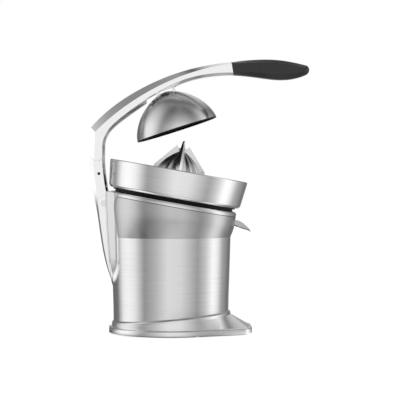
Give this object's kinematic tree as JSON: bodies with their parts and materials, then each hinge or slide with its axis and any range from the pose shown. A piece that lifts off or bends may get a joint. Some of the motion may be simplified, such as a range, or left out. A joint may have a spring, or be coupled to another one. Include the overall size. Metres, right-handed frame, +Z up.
{
  "type": "electric citrus press",
  "caption": "Electric citrus press in brushed steel with a tilted bowl, a ribbed reamer and a lever arm that brings a dome down on the fruit.",
  "frame": {"origin": "on the body's axis, at the surface that the press stands on", "axes": "+Z up, +X to the front where the spout and the grip are, +Y across to the left"},
  "size_m": [0.3484, 0.2222, 0.4349],
  "materials": {
    "brushed_steel": "brushed",
    "satin_steel": "satin",
    "cast_alloy": "satin",
    "black_steel": "satin",
    "zinc_steel": "satin",
    "core_steel": "matte",
    "brass": "satin",
    "copper": "satin",
    "black_plastic": "matte",
    "gear_plastic": "matte",
    "board": "satin",
    "soft_grip": "matte",
    "rubber": "matte"
  },
  "bodies": {
    "base": {"base_casting": "cast_alloy", "bottom_cover": "black_plastic", "non_slip_pad": "rubber", "cover_screws": "zinc_steel", "cable_gland": "rubber", "body_shell": "brushed_steel", "collar_ring": "satin_steel", "deck_tub": "black_plastic", "shaft_seal": "rubber", "juice_collector": "black_plastic", "bowl_skirt": "brushed_steel", "filter_basket": "satin_steel", "idler_shaft": "zinc_steel", "gearbox_housing": "black_plastic", "gearbox_lid": "black_plastic", "gearbox_screws": "zinc_steel", "output_bearing": "zinc_steel", "output_bush": "brass", "motor_frame": "zinc_steel", "motor_end_cap": "black_plastic", "motor_stator": "core_steel", "motor_coils": "copper", "motor_bearings": "brass", "motor_screws": "zinc_steel", "microswitch": "black_plastic", "switch_bracket": "zinc_steel", "control_board": "board", "run_capacitor": "board", "board_posts": "black_plastic", "rear_pillar": "cast_alloy", "rear_spine": "cast_alloy", "hinge_post": "cast_alloy", "post_cross_pin": "black_steel", "spine_caps": "cast_alloy", "hinge_pin": "zinc_steel", "spout_pin": "zinc_steel"},
    "drive": {"output_shaft": "zinc_steel", "drive_pin": "zinc_steel", "output_gear": "gear_plastic"},
    "reamer": {"reamer_cone": "satin_steel", "push_rod": "zinc_steel"},
    "idler": {"idler_gear": "gear_plastic"},
    "rotor": {"rotor_core": "core_steel", "rotor_shaft": "zinc_steel", "cooling_fan": "black_plastic", "motor_pinion": "brass"},
    "plunger": {"switch_plunger": "gear_plastic"},
    "arm": {"arm_casting": "cast_alloy", "arm_grip": "soft_grip", "hinge_bushes": "black_plastic", "dome_pin": "black_steel"},
    "dome": {"dome_shell": "satin_steel", "dome_liner": "black_plastic", "dome_hanger": "cast_alloy"},
    "spout": {"spout": "satin_steel"}
  },
  "joints": [
    {"name": "drive", "type": "hinge", "parent": "base", "child": "drive", "pos_m": [0.003, 0, 0.2021], "axis": [0.1736, 0, 0.9848], "continuous": true},
    {"name": "reamer_slide", "type": "slide", "parent": "drive", "child": "reamer", "axis": [0.1736, 0, 0.9848], "range_m": [-0.0015, 0], "stiffness_N_per_m": 2500, "springref_m": 0.003},
    {"name": "idler_spin", "type": "hinge", "parent": "base", "child": "idler", "pos_m": [-0.03462, 0.02347, 0.16812], "axis": [0.1736, 0, 0.9848], "continuous": true},
    {"name": "rotor_spin", "type": "hinge", "parent": "base", "child": "rotor", "pos_m": [-0.04602, -0.00871, 0.12951], "axis": [0.1736, 0, 0.9848], "continuous": true},
    {"name": "switch_travel", "type": "slide", "parent": "base", "child": "plunger", "axis": [0.1736, 0, 0.9848], "range_m": [-0.0015, 0]},
    {"name": "arm_hinge", "type": "hinge", "parent": "base", "child": "arm", "pos_m": [-0.1168, 0, 0.2848], "axis": [0, 1, 0], "range_deg": [-50, 28]},
    {"name": "dome_tilt", "type": "hinge", "parent": "arm", "child": "dome", "pos_m": [-0.01272, 0, 0.39366], "axis": [0, 1, 0], "range_deg": [-3, 3]},
    {"name": "spout_tilt", "type": "hinge", "parent": "base", "child": "spout", "pos_m": [0.09819, 0, 0.17415], "axis": [0, 1, 0], "range_deg": [-28, 0]}
  ],
  "couplings": [
    {"joint": "idler_spin", "follows": "drive", "ratio": -3.3333},
    {"joint": "rotor_spin", "follows": "drive", "ratio": 11.111},
    {"joint": "switch_travel", "follows": "reamer_slide", "ratio": 1}
  ]
}
